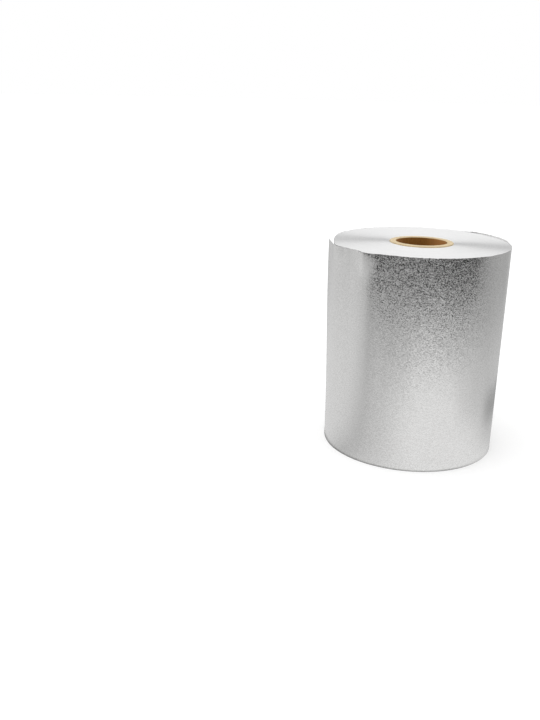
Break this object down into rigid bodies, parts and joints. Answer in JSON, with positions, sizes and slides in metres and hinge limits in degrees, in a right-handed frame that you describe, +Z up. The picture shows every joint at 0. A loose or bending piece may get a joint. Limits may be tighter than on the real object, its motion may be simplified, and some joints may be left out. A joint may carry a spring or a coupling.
{
  "type": "aluminium foil roll",
  "caption": "Roll of embossed aluminium foil wound on a paper tube, standing on its end, with a loose outer turn.",
  "frame": {"origin": "centre of the tube's bore in the lower end face, on the plane the roll stands on", "axes": "+Z up along the roll's axis; the loose turn's free end points to -X and the sheet leaves the roll near -Y"},
  "size_m": [0.1079, 0.105, 0.1274],
  "materials": {
    "foil": "embossed with a fine random crackle, semi-bright",
    "core_paper": "matt spiral-wound paperboard"
  },
  "bodies": {
    "root": {"foil": "foil", "core": "core_paper"}
  },
  "joints": []
}
